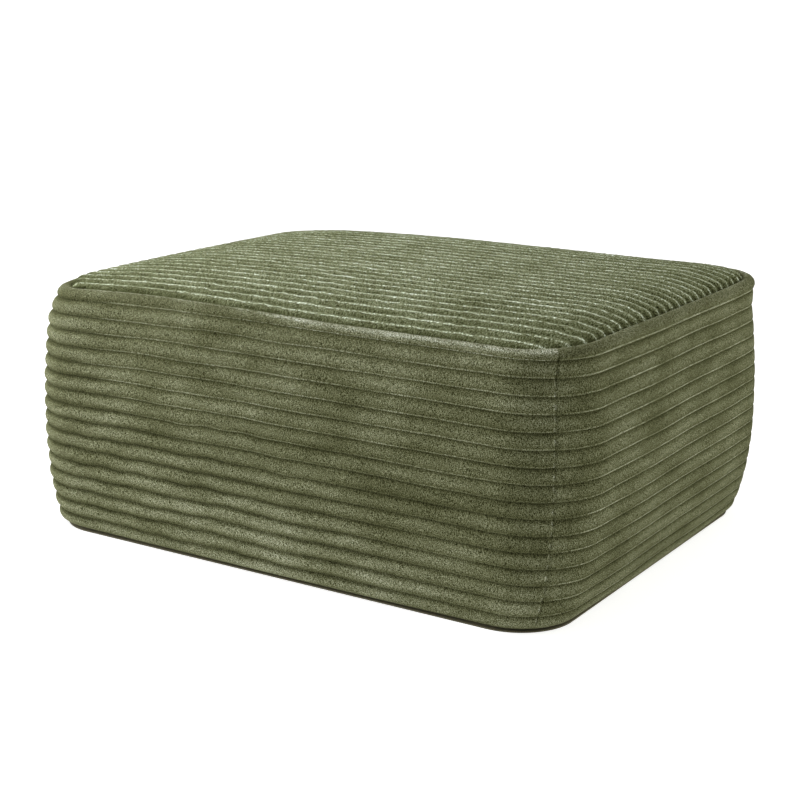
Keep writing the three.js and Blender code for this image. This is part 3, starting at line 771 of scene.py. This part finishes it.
# Base cloth: a dark plain-woven cloth stretched flat over the underside. It covers the band's turned-in edge,
# is stapled to the frame, and lies flat on the floor.
BASE_MARGIN = 0.013
BASE_THICKNESS = 0.002
BASE_RINGS = 24
BASE_INNERMOST = 0.02  # the first ring's share of the outline's size
BASE_COLOUR = (0.11, 0.1, 0.055)
base_long = half_long + SIDE_BOW - TUCKED_EDGE["inset_short"] + BASE_MARGIN
base_short = half_short + SIDE_BOW - TUCKED_EDGE["inset_long"] + BASE_MARGIN
base_corner = TUCKED_EDGE["corner"] + BASE_MARGIN
base_angle = np.radians(90 * corner + turn)
rim_x = share[:, 0] * (base_long - base_corner) + np.cos(base_angle) * base_corner
rim_y = share[:, 1] * (base_short - base_corner) + np.sin(base_angle) * base_corner
inwards = np.linspace(BASE_INNERMOST, 1, BASE_RINGS)[:, None]
top_face = np.stack(np.broadcast_arrays(rim_x * inwards, rim_y * inwards, BASE_THICKNESS), -1)
under_face = np.stack(np.broadcast_arrays(rim_x * inwards, rim_y * inwards, 0.0), -1)[::-1]
base_grid = np.concatenate([top_face, under_face])
base_places = np.zeros((len(base_grid), columns + 1, 2))
base = closed_piece("base_cloth_cover", base_grid, base_places, {})


def base_material():
    """Dark plain weave: two crossed bands of threads raise the surface and shade its colour."""
    material = bpy.data.materials.new("base_cloth")
    material.use_nodes = True
    nodes, links = material.node_tree.nodes, material.node_tree.links
    shader = nodes["Principled BSDF"]
    shader.inputs["Roughness"].default_value = 0.9
    coordinates = nodes.new("ShaderNodeTexCoord")
    threads = []
    for direction in ("X", "Y"):
        thread = nodes.new("ShaderNodeTexWave")
        thread.bands_direction = direction
        thread.inputs["Scale"].default_value = 160
        thread.inputs["Distortion"].default_value = 0.6
        links.new(coordinates.outputs["Object"], thread.inputs["Vector"])
        threads.append(thread)
    crossed = nodes.new("ShaderNodeMath")
    crossed.operation = "MULTIPLY"
    links.new(threads[0].outputs["Fac"], crossed.inputs[0])
    links.new(threads[1].outputs["Fac"], crossed.inputs[1])
    shade = shade_ramp(nodes, ((0.0, 0.6), (1.0, 1.5)))
    links.new(crossed.outputs[0], shade.inputs["Fac"])
    base_rgb = nodes.new("ShaderNodeRGB")
    base_rgb.outputs[0].default_value = (*BASE_COLOUR, 1)
    coloured = multiply(nodes, links, base_rgb.outputs[0], shade.outputs["Color"])
    links.new(coloured, shader.inputs["Base Color"])
    bump = nodes.new("ShaderNodeBump")
    bump.inputs["Distance"].default_value = 0.0005
    links.new(crossed.outputs[0], bump.inputs["Height"])
    links.new(bump.outputs["Normal"], shader.inputs["Normal"])
    return material


base.data.materials.append(base_material())
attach(base, "root")
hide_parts("base_cloth")

# Floor and light: a plain pale floor under an even sky, with one large soft lamp high on the left, one low on
# the left and a weaker, warmer one on the right.
FLOOR_HALF = 200
floor_mesh = bpy.data.meshes.new("floor")
floor_corners = [(x * FLOOR_HALF, y * FLOOR_HALF, 0) for x, y in ((-1, -1), (1, -1), (1, 1), (-1, 1))]
floor_mesh.from_pydata(floor_corners, [], [(0, 1, 2, 3)])
floor = bpy.data.objects.new("floor", floor_mesh)
bpy.context.collection.objects.link(floor)
floor_material = bpy.data.materials.new("floor")
floor_material.use_nodes = True
floor_shader = floor_material.node_tree.nodes["Principled BSDF"]
floor_shader.inputs["Base Color"].default_value = (0.7, 0.7, 0.7, 1)
floor_shader.inputs["Roughness"].default_value = 0.8
floor_shader.inputs["Emission Color"].default_value = (1, 1, 1, 1)
floor_shader.inputs["Emission Strength"].default_value = 0.75
floor_mesh.materials.append(floor_material)
bpy.context.scene.view_settings.view_transform = "Standard"

world = bpy.data.worlds.new("studio")
world.use_nodes = True
world.node_tree.nodes["Background"].inputs["Color"].default_value = (1, 1, 1, 1)
world.node_tree.nodes["Background"].inputs["Strength"].default_value = 0.5
bpy.context.scene.world = world


def soft_lamp(name, place, aim, size, power, colour):
    """A square area lamp at a place, turned to face the aim."""
    lamp = bpy.data.objects.new(name, bpy.data.lights.new(name, "AREA"))
    lamp.data.size = size
    lamp.data.energy = power
    lamp.data.color = colour
    lamp.location = place
    lamp.rotation_euler = (Vector(aim) - Vector(place)).to_track_quat("-Z", "Y").to_euler()
    bpy.context.collection.objects.link(lamp)


soft_lamp("key_lamp", (-1.3, -0.6, 2.0), (-0.2, 0, 0.3), 1.0, 40, (1, 1, 1))
soft_lamp("left_lamp", (-2.0, -1.5, 0.7), (-0.3, -0.3, 0.2), 0.8, 26, (1, 1, 1))
soft_lamp("right_lamp", (2.2, 1.1, 0.8), (0.45, 0, 0.2), 1.0, 12, (1, 0.98, 0.75))
